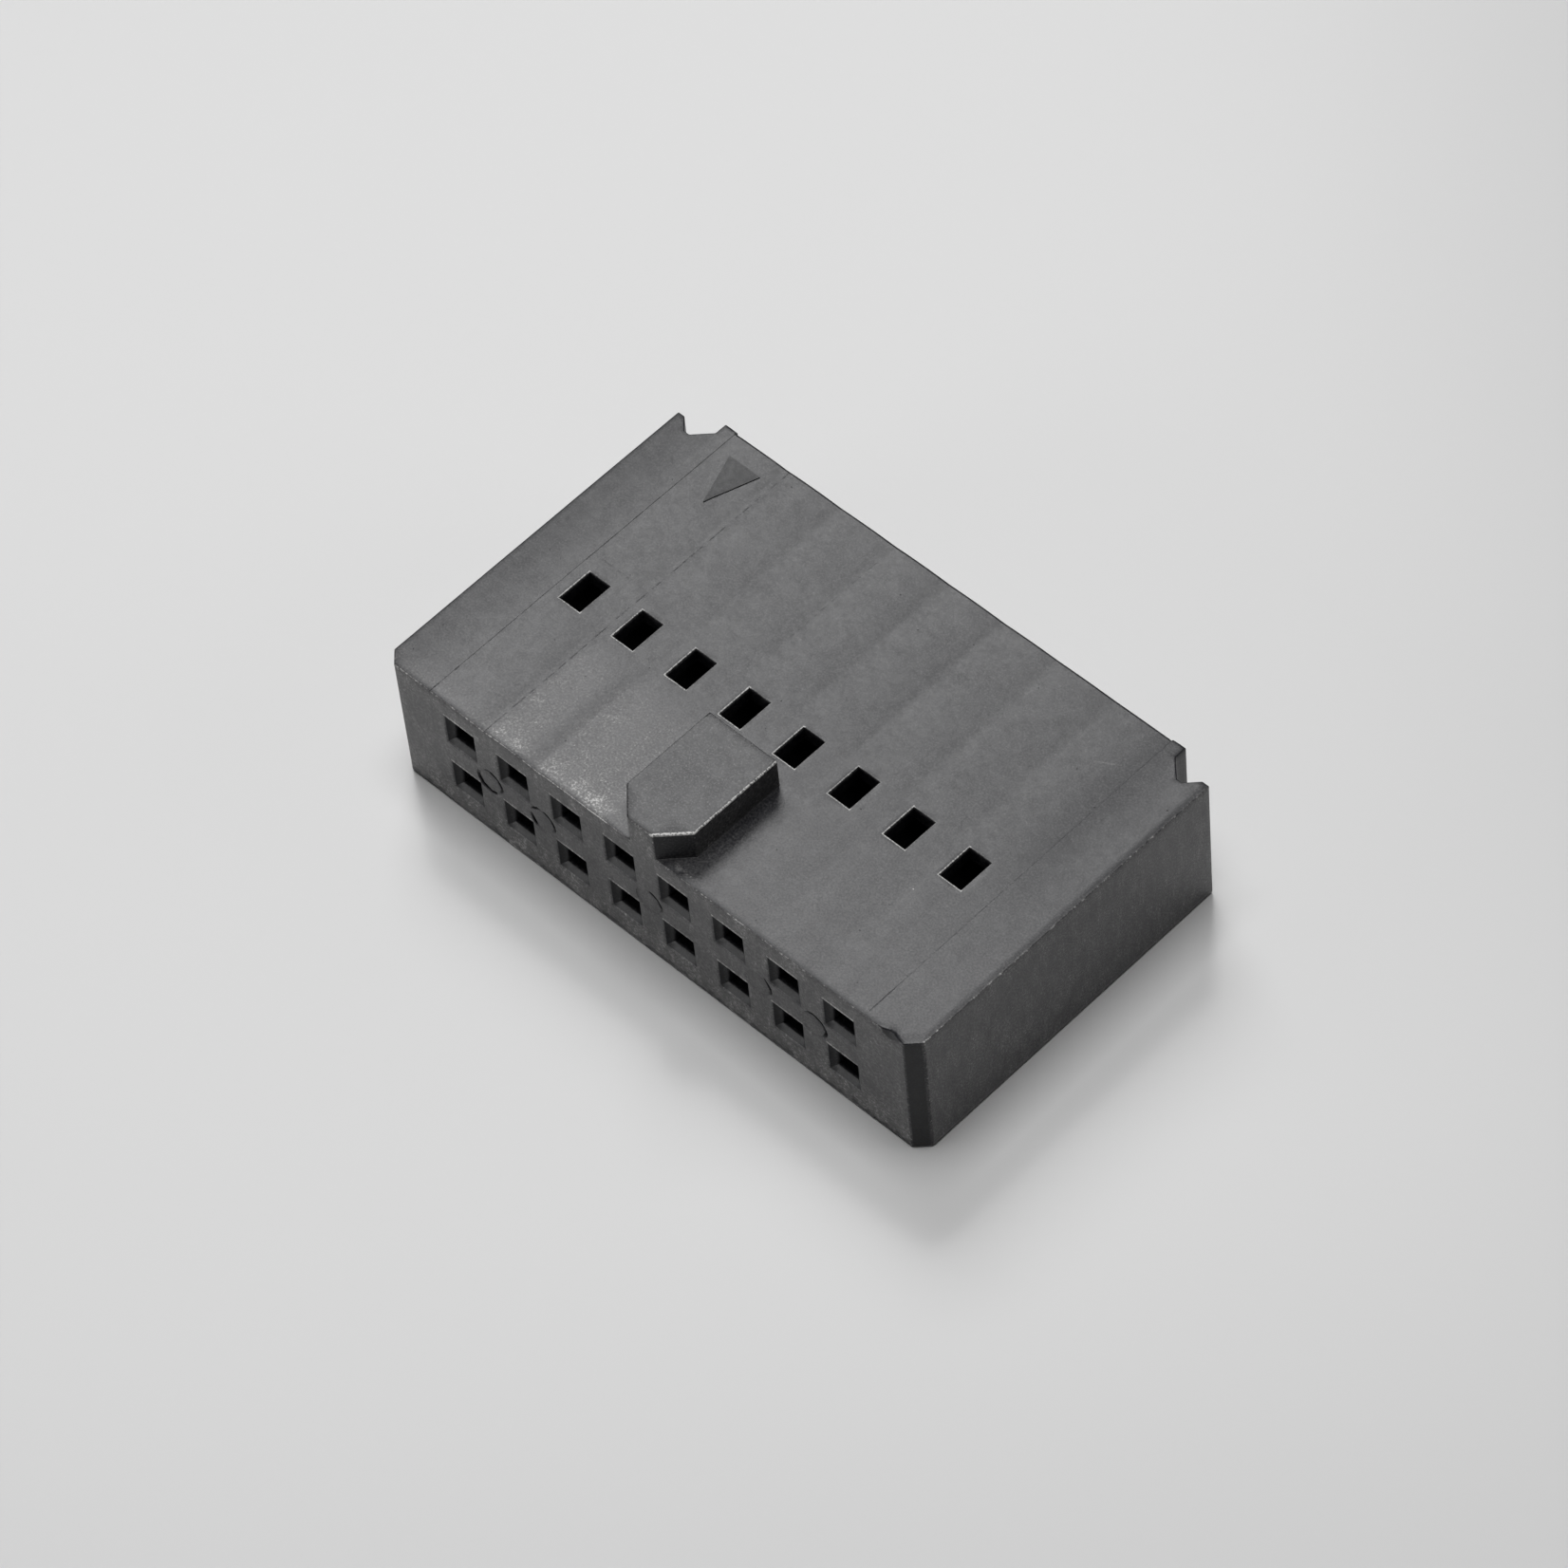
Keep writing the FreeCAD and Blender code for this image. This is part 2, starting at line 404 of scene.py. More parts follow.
def shapeSurfaces(sizes, base, points):
    # Sinks over the webs, the small steps of the end blocks, the setback of the
    # rear face, and the nick in the front edge. A sink's depth falls off as
    # exp(-distance / width) from its web, with a blunt bottom, and the top waves by
    # height * sin(radians along x and y).
    x, y, z = base.T
    ends = np.abs(x) > sizes["halfField"] + touching
    top = np.abs(z - sizes["height"]) < sizes["markHeight"] + touching
    bottom = z < touching
    half = sizes["columns"] / 2
    web = np.clip(np.round(x / sizes["pitch"] + half).astype(int), 0, sizes["columns"])
    away = np.hypot(x - (web - half) * sizes["pitch"], sizes["sinkRound"]) - sizes["sinkRound"]
    share = np.clip((y - sizes["sinkTurn"]) / sizes["sinkFade"], -1, 1)
    behind = np.array(sizes["sinksBehind"])[web] * share
    ahead = np.array(sizes["sinksAhead"])[web] * -share
    strength = np.where(share > 0, behind, ahead) + sizes["sinkEverywhere"]
    sink = sizes["sinkDepth"] * strength * np.exp(-away / np.array(sizes["sinkWidths"])[web])
    wave = sum(tall * np.sin(x * alongX + y * alongY) for tall, alongX, alongY in sizes["waves"])
    cornerX, cornerY = sizes["ledgeCorner"]
    shallow, deep = sizes["ledgeDepths"]
    ledge = np.where(y > cornerY, deep, shallow) * ((x < cornerX) & ~ends)
    points[:, 2] += np.where(top, wave - sink - ledge, 0)
    points[:, 2] += np.where(top & ends, sizes["endRise"], 0)
    points[:, 2] += np.where(bottom, sizes["undersideShare"] * sink + sizes["undersideLift"], 0)
    points[:, 2] += np.where(bottom & ends, sizes["endLift"], 0)
    points[:, 1] -= np.where((y > sizes["rear"] - touching) & ~ends, sizes["fieldSetback"], 0)
    nick = np.exp(-(((x - sizes["nickPlace"]) / sizes["nickWidth"]) ** 2))
    nick = np.where(top & (y < sizes["front"] + touching), nick, 0)
    inwards, downwards = sizes["nickDepths"]
    points[:, 1] += inwards * nick
    points[:, 2] -= downwards * nick


def sharpConvex(points, faces, limit):
    # Edges where two faces meet at more than the limit and bulge outwards.
    ends = np.stack([faces, np.roll(faces, -1, 1)], 2).reshape(-1, 2)
    owner = np.repeat(np.arange(len(faces)), 4)
    key = np.sort(ends, 1)
    order = np.lexsort((key[:, 1], key[:, 0]))
    key, owner = key[order], owner[order]
    corners = points[faces]
    normals = np.cross(corners[:, 2] - corners[:, 0], corners[:, 3] - corners[:, 1])
    normals /= np.maximum(np.linalg.norm(normals, axis=1, keepdims=True), 1e-12)
    middles = corners.mean(1)
    first, second = owner[0::2], owner[1::2]
    bend = (normals[first] * normals[second]).sum(1) < math.cos(math.radians(limit))
    outward = (normals[first] * (middles[second] - middles[first])).sum(1) < 0
    return key[0::2], bend, bend & outward


def makeHousing(sizes):
    lines = cellLines(sizes, fillPlanes)
    corners = boundaryFaces(solidCells(sizes, lines))
    counts = [len(line) for line in lines]
    numbers = np.ravel_multi_index(tuple(corners.reshape(-1, 3).T), counts)
    used, faces = np.unique(numbers, return_inverse=True)
    faces = faces.reshape(-1, 4)
    places = np.unravel_index(used, counts)
    base = np.stack([line[index] for line, index in zip(lines, places)], 1)
    points = base.copy()
    shapePassages(sizes, base, points)
    shapeRings(sizes, base, points)
    shapeMark(sizes, base, points)
    x, y = points[:, 0].copy(), points[:, 1].copy()
    everywhere = np.ones(len(points), bool)
    upper = base[:, 2] > sizes["height"] - touching
    front, rear = sizes["front"], sizes["rear"]
    wallY, floorY, tipY = [rear - sizes[name] for name in ("pocketWallDepth", "pocketDepth", "hornSetback")]
    for side in (-1, 1):
        chamfer = side * (sizes["halfLength"] - sizes["frontChamfer"]), side * sizes["halfLength"]
        keyChamfer = side * sizes["keyNose"], side * sizes["keyHalf"]
        innerSlope = side * sizes["pocketInside"], side * sizes["pocketFloorInside"]
        outerSlope = side * sizes["pocketFloorOutside"], side * sizes["hornInside"]
        folds = (
            (everywhere, chamfer, (front, front + sizes["frontChamfer"]), (0, 1)),
            (upper, keyChamfer, (front, front + sizes["keyChamfer"]), (0, 1)),
            (everywhere, innerSlope, (floorY, wallY), (1, 1)),
            (everywhere, outerSlope, (floorY, tipY), (0, 1)),
        )
        for fold in folds:
            foldCorner(x, y, *fold, sizes["foldGap"])
    points[:, 0], points[:, 1] = x, y
    shapeSurfaces(sizes, base, points)
    pairs, bent, convex = sharpConvex(points, faces, sizes["sharpDegrees"])
    mesh = bpy.data.meshes.new("housingLook")
    mesh.from_pydata((points * metresPerMm).tolist(), [], faces.tolist())
    mesh.validate()
    markEdges(sizes, mesh, base, pairs, bent, convex)
    mesh.polygons.foreach_set("use_smooth", np.ones(len(mesh.polygons), bool))
    piece = addObject("housingLook", mesh)
    bevel = piece.modifiers.new("edgeRound", "BEVEL")
    bevel.width = sizes["edgeRound"] * metresPerMm
    bevel.segments = sizes["edgeSegments"]
    bevel.limit_method = "WEIGHT"
    bevel.use_clamp_overlap = False
    normal = piece.modifiers.new("flatFaces", "WEIGHTED_NORMAL")
    normal.keep_sharp = True
    normal.weight = 100
    return piece


def addValues(mesh, name, kind, domain, values):
    mesh.attributes.new(name, kind, domain).data.foreach_set("value", values)


def markEdges(sizes, mesh, base, pairs, bent, convex):
    # Rounding for the edges that a hand can reach, and a wear value on them.
    count = len(mesh.vertices)
    ends = np.zeros(len(mesh.edges) * 2, np.int64)
    mesh.edges.foreach_get("vertices", ends)
    ends = np.sort(ends.reshape(-1, 2), 1)
    pairCode = pairs[:, 0] * count + pairs[:, 1]
    order = np.argsort(pairCode)
    at = order[np.searchsorted(pairCode[order], ends[:, 0] * count + ends[:, 1])]
    bent, convex = bent[at], convex[at]
    concave = bent & ~convex
    a, b = base[ends[:, 0]], base[ends[:, 1]]
    x, y, z = ((a + b) / 2).T
    side = np.abs(x)
    depth = y - sizes["front"]
    back = sizes["rear"] - y

    def onPlane(axis, place):
        return (np.abs(a[:, axis] - place) < touching) & (np.abs(b[:, axis] - place) < touching)

    onTop = onPlane(2, sizes["height"])
    onBottom = onPlane(2, 0)
    onFront = onPlane(1, sizes["front"])
    onThroat = onPlane(1, sizes["front"] + sizes["entryDepth"])
    foot = onBottom & onFront
    inField = side < sizes["halfField"] - touching
    inWindow = inField & (np.abs(depth - sizes["windowDistance"]) < sizes["windowHalfLength"] + beside)
    inPocket = (side > sizes["pocketInside"] - beside) & (back < sizes["pocketDepth"] + beside)
    outside = (side > sizes["halfField"]) | (z > sizes["height"] - touching) | onBottom | onFront
    far = onTop & ((back < sizes["edgeRound"]) | onPlane(0, -sizes["halfLength"]))
    keyFar = (depth > sizes["keyLength"] - touching) | onPlane(0, -sizes["keyHalf"])
    keyFar &= onPlane(2, sizes["height"] + sizes["keyHeight"])
    keyFoot = onTop & (side < sizes["keyHalf"] + touching) & (depth < sizes["keyLength"] + touching)
    onMark = np.abs(x - columnPlaces(sizes)[0]) < sizes["markHalf"] + beside
    onMark &= (y < sizes["markBase"] + beside) & (y > sizes["markBase"] - sizes["markLength"] - beside)
    onStep = np.abs(a[:, 0] - b[:, 0]) < touching
    onStep &= np.abs(side - sizes["halfField"]) < sizes["stepWidth"] + touching
    weight = np.zeros(len(x))
    rules = (
        # A later rule wins over an earlier one.
        ("outside", convex & outside),
        ("foot", convex & foot),
        ("far", convex & far),
        ("keyFar", convex & keyFar),
        ("throat", convex & onThroat & inField),
        ("window", convex & (onTop | onBottom) & inWindow),
        ("entry", convex & onFront & inRows(sizes, z) & inField),
        ("pocket", concave & inPocket),
        ("keyFoot", concave & keyFoot),
    )
    for name, where in rules:
        weight[where] = sizes["edgeShares"][name]
    weight[onStep | onMark] = 0.0
    addValues(mesh, "bevel_weight_edge", "FLOAT", "EDGE", weight.astype(np.float32))
    addValues(mesh, "sharp_edge", "BOOLEAN", "EDGE", (bent | onStep) & (weight == 0))
    worn = np.minimum(weight / sizes["edgeShares"]["outside"], 1.0)
    worn[foot | onThroat | inPocket] = 0.0
    wear = np.zeros(count, np.float32)
    np.maximum.at(wear, ends[:, 0], worn)
    np.maximum.at(wear, ends[:, 1], worn)
    addValues(mesh, "edgeWear", "FLOAT", "POINT", wear)


look = makeHousing(housing)
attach(look, "root")
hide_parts("housing")
print("housing made", len(look.data.vertices), "points", len(look.data.polygons), "faces")


def addNode(tree, kind, inputs=None, **settings):
    made = tree.nodes.new(kind)
    for name, value in settings.items():
        setattr(made, name, value)
    for name, value in (inputs or {}).items():
        feed(tree, value, made.inputs[name])
    return made


def feed(tree, value, socket):
    # A socket is linked and anything else is written on the input.
    if isinstance(value, bpy.types.NodeSocket):
        tree.links.new(value, socket)
    else:
        socket.default_value = value


def maths(tree, operation, *values, clamp=False):
    inputs = dict(enumerate(values))
    return addNode(tree, "ShaderNodeMath", inputs, operation=operation, use_clamp=clamp).outputs[0]


def plus(tree, first, second):
    return maths(tree, "ADD", first, second)


def minus(tree, first, second, clamp=False):
    return maths(tree, "SUBTRACT", first, second, clamp=clamp)


def vectorMaths(tree, operation, inputs, output=0):
    return addNode(tree, "ShaderNodeVectorMath", inputs, operation=operation).outputs[output]


def rise(tree, value, start, finish):
    # 0 before start, 1 after finish and a smooth step between them.
    made = addNode(tree, "ShaderNodeMapRange", {"Value": value, "From Min": start, "From Max": finish})
    made.interpolation_type = "SMOOTHSTEP"
    return made.outputs["Result"]


def stripe(tree, value, low, high, soft):
    # 1 between low and high, fading to 0 over the soft width at each side.
    up = rise(tree, value, low - soft, low + soft)
    down = rise(tree, value, high + soft, high - soft)
    return maths(tree, "MULTIPLY", up, down)


def product(tree, first, *others):
    for other in others:
        first = maths(tree, "MULTIPLY", first, other)
    return first


def largest(tree, first, *others):
    for other in others:
        first = maths(tree, "MAXIMUM", first, other)
    return first


def weighted(tree, start, values, strengths):
    # The start, plus every value that has a strength, times that strength.
    for name, strength in strengths.items():
        start = plus(tree, start, product(tree, values[name], strength))
    return start


def strongest(tree, values, strengths):
    # The largest of the values that have a strength, each times that strength.
    return largest(tree, *[product(tree, values[name], strength) for name, strength in strengths.items()])


def noise(tree, place, scale, detail, roughness, stretch=None):
    if stretch:
        place = vectorMaths(tree, "MULTIPLY", {0: place, 1: stretch})
    made = addNode(tree, "ShaderNodeTexNoise", {
        "Vector": place, "Scale": scale, "Detail": detail, "Roughness": roughness,
    })
    return made.outputs["Fac"]


def newGroup(name, inputs):
    # A group whose output is a mask. An input without a value is a vector.
    tree = bpy.data.node_groups.new(name, "ShaderNodeTree")
    for label, value in inputs.items():
        kind = "NodeSocketVector" if value is None else "NodeSocketFloat"
        socket = tree.interface.new_socket(label, in_out="INPUT", socket_type=kind)
        if value is not None:
            socket.default_value = value
    tree.interface.new_socket("Mask", in_out="OUTPUT", socket_type="NodeSocketFloat")
    return tree, tree.nodes.new("NodeGroupInput").outputs, tree.nodes.new("NodeGroupOutput").inputs


def useGroup(tree, group, inputs):
    return addNode(tree, "ShaderNodeGroup", inputs, node_tree=group).outputs["Mask"]


# Scales, details and roughnesses of the noises that break the marks up, and the
# values between which a mark fades out.
markChoices = {
    "scratchWander": (5.0, 3.0, 0.6),
    "scratchLeast": 0.4,
    "scratchBreaks": (2.2, 2.0, 0.5),
    "scratchGap": (-0.12, 0.12),
    "speckEdge": (1.0, 0.6),
    "rubNoise": (7.0, 3.0, 0.65),
    "rubEdge": (0.95, 1.1),
}


def scratchGroup(choices):
    # How near a point is to the line from Start to End: 1 on it, 0 a width away,
    # with a wandering width, and gaps where a noise is lower than Broken.
    tree, given, out = newGroup("scratch", {
        "Place": None, "Start": None, "End": None, "Width": 0.05, "Broken": 0.5,
    })
    fromStart = vectorMaths(tree, "SUBTRACT", {0: given["Place"], 1: given["Start"]})
    run = vectorMaths(tree, "SUBTRACT", {0: given["End"], 1: given["Start"]})
    along = vectorMaths(tree, "DOT_PRODUCT", {0: fromStart, 1: run}, "Value")
    length = vectorMaths(tree, "DOT_PRODUCT", {0: run, 1: run}, "Value")
    share = maths(tree, "DIVIDE", along, length, clamp=True)
    foot = vectorMaths(tree, "SCALE", {0: run, "Scale": share})
    away = vectorMaths(tree, "DISTANCE", {0: fromStart, 1: foot}, "Value")
    wander = noise(tree, given["Place"], *choices["scratchWander"])
    width = product(tree, given["Width"], plus(tree, wander, choices["scratchLeast"]))
    near = minus(tree, 1.0, maths(tree, "DIVIDE", away, width), clamp=True)
    breaks = noise(tree, given["Place"], *choices["scratchBreaks"])
    kept = rise(tree, minus(tree, breaks, given["Broken"]), *choices["scratchGap"])
    feed(tree, product(tree, near, kept), out["Mask"])
    return tree


def speckGroup(choices):
    # Small round dots at random places: cells of a Voronoi pattern, of which only
    # those whose random value is below Share are kept.
    tree, given, out = newGroup("specks", {"Place": None, "Scale": 1.0, "Size": 0.05, "Share": 0.1})
    cells = addNode(tree, "ShaderNodeTexVoronoi", {"Vector": given["Place"], "Scale": given["Scale"]})
    random = addNode(tree, "ShaderNodeSeparateColor", {"Color": cells.outputs["Color"]}).outputs[0]
    kept = maths(tree, "GREATER_THAN", given["Share"], random)
    dot = maths(tree, "DIVIDE", cells.outputs["Distance"], given["Size"])
    feed(tree, product(tree, kept, rise(tree, dot, *choices["speckEdge"])), out["Mask"])
    return tree


def wearGroup(choices):
    # Rubbed edges: the wear value of the mesh, eaten into by noise.
    tree, given, out = newGroup("edgeRub", {"Place": None, "Wear": 0.0, "Amount": 0.5})
    ragged = plus(tree, noise(tree, given["Place"], *choices["rubNoise"]), given["Amount"])
    feed(tree, rise(tree, product(tree, given["Wear"], ragged), *choices["rubEdge"]), out["Mask"])
    return tree


# Where the finish of the moulding changes, in millimetres. A pair is where a mask
# starts and where it is full, or the two sides of a stripe. It is counted from the
# face or edge that it names, or is a place on the part.
finishes = {
    "fade": 0.02,  # the usual width over which a stripe fades
    "onEdge": (-0.02, 0.02),
    "top": (-0.13, 0.1),
    "topEdge": (-0.005, -0.03),
    "front": (0.3, 0.02),
    "frontSkin": (0.05, 0.02),
    "end": (-0.1, -0.03),
    "corner": (-0.06, -0.01),
    "fieldEdge": (-0.2, -0.3),
    "windowRim": 0.055,
    "windowLit": (0.1, 0.01),
    "windowShares": (0.5, 0.6),  # strength of the painted highlight on a rim, and what its left and front side add
    "entries": (9.9, 9.8),  # distance from the middle where the pin entries end
    "entryTop": (5.4, 5.3),
    "lip": (0.01, 0.1),
    "lipEnd": (0.0, -0.06),
    "rampFold": (0.03, -0.03),
    "rings": (8.6, 8.5),
    "ringSides": (-0.02, 0.02),
    "ringFade": 0.03,
    "ringSunk": (0.03, 0.02),
    "thinFade": 0.015,
    "markTop": (0.002, 0.2),
    "markFade": 0.008,
    "markRoom": (-9.7, -8.1),
    "markRun": (4.2, 6.54),
    "endRing": (2.2, 2.4),  # radii of a faint ring on the right end
    "endRingMiddle": (0.0, -1.8, 3.0),
    "endRingFade": 0.12,
    "keyRim": (-0.09, -0.05),
    "keyChamferRim": (-0.17, -0.12),
    "keySideShare": 0.9,  # of the painted highlight on the key's side to that on its chamfer
    "keyTop": (-0.05, -0.02),
    "keySide": (0.02, 1.2),
    "keyFlank": (0.04, -0.07),
    "stepNear": (-5.6, -6.3),  # y where the step lines grow stronger
    "stepShares": (0.3, 0.6),
    "leftLine": (-7.57, -7.53),
    "midLine": (-2.54, -2.51),
    "midLineRun": (1.0, 1.4),
    "crossLine": (0.38, 0.44),
    "crossLineRun": (-10.0, -7.6),
    "lineShares": (0.65, 0.4, 0.4),
    "lineBreaks": (0.38, 0.6),  # values of a noise
    "lineNoise": (3.5, 2.0, 0.5),
    "foot": (-0.15, -0.35),
    "footNoise": (3.0, 3.0, 0.6),
}


def pairRise(tree, value, place, pair):
    return rise(tree, value, place + pair[0], place + pair[1])


def pairStripe(tree, value, place, pair, fade):
    return stripe(tree, value, place + pair[0], place + pair[1], fade)


def fromMiddleOf(tree, value, pitch):
    # The signed distance from the middle between two multiples of the pitch.
    return minus(tree, maths(tree, "FLOORED_MODULO", value, pitch), pitch / 2)


def windowMask(tree, sizes, finish, at):
    # A painted highlight on a thin rim round each latch window, stronger on its left and front sides.
    across = fromMiddleOf(tree, plus(tree, at["x"], sizes["windowOffset"]), sizes["pitch"])
    along = minus(tree, at["y"], sizes["front"] + sizes["windowDistance"])
    leftRim = pairRise(tree, across, -sizes["windowHalfWidth"], finish["windowLit"])
    frontRim = pairRise(tree, along, -sizes["windowHalfLength"], finish["windowLit"])
    plain, added = finish["windowShares"]
    shares = plus(tree, product(tree, largest(tree, leftRim, frontRim), added), plain)
    across = minus(tree, maths(tree, "ABSOLUTE", across), sizes["windowHalfWidth"])
    along = minus(tree, maths(tree, "ABSOLUTE", along), sizes["windowHalfLength"])
    rim = stripe(tree, largest(tree, across, along), 0.0, finish["windowRim"], finish["fade"])
    inField = pairRise(tree, at["side"], sizes["halfField"], finish["fieldEdge"])
    return product(tree, rim, shares, inField, at["top"])


def entryMasks(tree, sizes, finish, at):
    # A painted highlight on the lip above each pin entry, and the ramp on its left.
    across = fromMiddleOf(tree, at["x"], sizes["pitch"])
    fromRows = minus(tree, at["z"], sizes["rowHeights"][0] - sizes["pitch"] / 2)
    upright = fromMiddleOf(tree, fromRows, sizes["pitch"])
    inColumns = rise(tree, at["side"], *finish["entries"])
    overEntry = pairRise(tree, maths(tree, "ABSOLUTE", across), sizes["entryHalf"], finish["lipEnd"])
    lip = pairStripe(tree, upright, sizes["entryHalf"], finish["lip"], finish["fade"])
    sideways = plus(tree, across, maths(tree, "ABSOLUTE", upright))
    inEntry = minus(tree, at["front"], at["frontSkin"], clamp=True)
    ramp = product(tree, rise(tree, sideways, *finish["rampFold"]), inColumns)
    ramp = product(tree, ramp, rise(tree, at["z"], *finish["entryTop"]))
    return {
        "lip": product(tree, lip, overEntry, inColumns, at["frontSkin"]),
        "inEntry": inEntry,
        "leftRamp": product(tree, ramp, inEntry),
    }


def ringMasks(tree, sizes, finish, at):
    # The grooves round the ejector marks, by the distance from the middle between four pin entries,
    # darkened as grime and painted shade, and a faint ring on the right end.
    across = fromMiddleOf(tree, plus(tree, at["x"], sizes["pitch"] / 2), sizes["pitch"])
    upright = minus(tree, at["z"], sum(sizes["rowHeights"]) / 2)
    squares = [maths(tree, "POWER", value, 2.0) for value in (across, upright)]
    radius = maths(tree, "SQRT", plus(tree, *squares))
    inner = sizes["ringRadii"][0] + finish["ringSides"][0]
    outer = sizes["ringRadii"][2] + finish["ringSides"][1]
    ring = stripe(tree, radius, inner, outer, finish["ringFade"])
    floorY = sizes["front"] + sizes["ringDepth"]
    above, below = finish["ringSunk"]
    sunk = stripe(tree, at["y"], floorY + above, floorY + sizes["ringGroove"] + below, finish["thinFade"])
    endPlace = addNode(tree, "ShaderNodeCombineXYZ", {0: 0.0, 1: at["y"], 2: at["z"]}).outputs[0]
    fromEnd = vectorMaths(tree, "DISTANCE", {0: endPlace, 1: finish["endRingMiddle"]}, "Value")
    endRing = stripe(tree, fromEnd, *finish["endRing"], finish["endRingFade"])
    return {
        "ring": product(tree, ring, sunk, rise(tree, at["side"], *finish["rings"])),
        "endRing": product(tree, endRing, at["onEnd"]),
    }


def keyMasks(tree, sizes, finish, at):
    # The key's top, its right side, painted lighter, and a painted highlight on the top edges of its
    # front right chamfer and right side.
    keyTop = sizes["height"] + sizes["keyHeight"]
    pastChamfer = minus(tree, at["x"], minus(tree, at["y"], sizes["front"]))
    chamferRim = pairRise(tree, pastChamfer, sizes["keyNose"], finish["keyChamferRim"])
    sideRim = pairRise(tree, at["x"], sizes["keyHalf"], finish["keyRim"])
    sideRim = product(tree, sideRim, finish["keySideShare"])
    flank = pairStripe(tree, at["x"], sizes["keyHalf"], finish["onEdge"], finish["fade"])
    low, high = finish["keyFlank"]
    tall = stripe(tree, at["z"], sizes["height"] + low, keyTop + high, finish["fade"])
    pastNose = pairRise(tree, at["x"], sizes["keyNose"], finish["onEdge"])
    lower = pairStripe(tree, at["z"], sizes["height"], finish["keySide"], finish["ringFade"])
    onRim = pairRise(tree, at["z"], keyTop, finish["keyRim"])
    return {
        "keyRim": product(tree, largest(tree, chamferRim, sideRim), onRim),
        "keyTop": pairRise(tree, at["z"], keyTop, finish["keyTop"]),
        "keySide": product(tree, flank, lower),
        "keyFlank": product(tree, tall, pastNose),
    }


def lineMask(tree, sizes, finish, at, place):
    # Lines left by the inserts of the mould, broken up by noise.
    step = pairStripe(tree, at["side"], sizes["halfField"], finish["onEdge"], finish["thinFade"])
    plain, added = finish["stepShares"]
    nearFront = plus(tree, product(tree, rise(tree, at["y"], *finish["stepNear"]), added), plain)
    left = stripe(tree, at["x"], *finish["leftLine"], finish["thinFade"])
    middle = stripe(tree, at["x"], *finish["midLine"], finish["thinFade"])
    middle = product(tree, middle, rise(tree, at["y"], *finish["midLineRun"]))
    cross = stripe(tree, at["y"], *finish["crossLine"], finish["thinFade"])
    cross = product(tree, cross, stripe(tree, at["x"], *finish["crossLineRun"], finish["fade"]))
    lines = [product(tree, line, share) for line, share in zip((left, middle, cross), finish["lineShares"])]
    broken = rise(tree, noise(tree, place, *finish["lineNoise"]), *finish["lineBreaks"])
    return product(tree, largest(tree, product(tree, step, nearFront), *lines), at["top"], broken)


def surfaceMasks(tree, sizes, finish, place):
    # Where each kind of surface lies, from the place of a point in millimetres. The
    # coordinates and the masks are kept together by name.
    axes = addNode(tree, "ShaderNodeSeparateXYZ", {0: place}).outputs
    x, y, z = axes[0], axes[1], axes[2]
    side = maths(tree, "ABSOLUTE", x)
    at = {"x": x, "y": y, "z": z, "side": side}
    level = pairStripe(tree, z, sizes["height"], finish["top"], finish["fade"])
    toFront = minus(tree, 0.0, y)
    inside = [
        pairRise(tree, toFront, -sizes["front"], finish["topEdge"]),
        pairRise(tree, side, sizes["halfLength"], finish["topEdge"]),
    ]
    at["top"] = product(tree, level, *inside)
    at["front"] = pairRise(tree, y, sizes["front"], finish["front"])
    at["frontSkin"] = pairRise(tree, y, sizes["front"], finish["frontSkin"])
    at["onEnd"] = pairRise(tree, x, sizes["halfLength"], finish["end"])
    cornerPlace = sizes["halfLength"] - sizes["front"] - sizes["frontChamfer"]
    at["corner"] = pairRise(tree, minus(tree, x, y), cornerPlace, finish["corner"])
    at["windowRim"] = windowMask(tree, sizes, finish, at)
    at.update(entryMasks(tree, sizes, finish, at))
    at.update(ringMasks(tree, sizes, finish, at))
    at.update(keyMasks(tree, sizes, finish, at))
    at["insertLine"] = lineMask(tree, sizes, finish, at, place)
    onMark = pairStripe(tree, z, sizes["height"], finish["markTop"], finish["markFade"])
    markX = stripe(tree, x, *finish["markRoom"], finish["fade"])
    markY = stripe(tree, y, *finish["markRun"], finish["fade"])
    at["mark"] = product(tree, onMark, markX, markY)
    # A ragged band of painted shade along the foot of the front face, where it meets the table.
    low = minus(tree, z, noise(tree, place, *finish["footNoise"]))
    at["foot"] = product(tree, rise(tree, low, *finish["foot"]), at["front"])
    return at


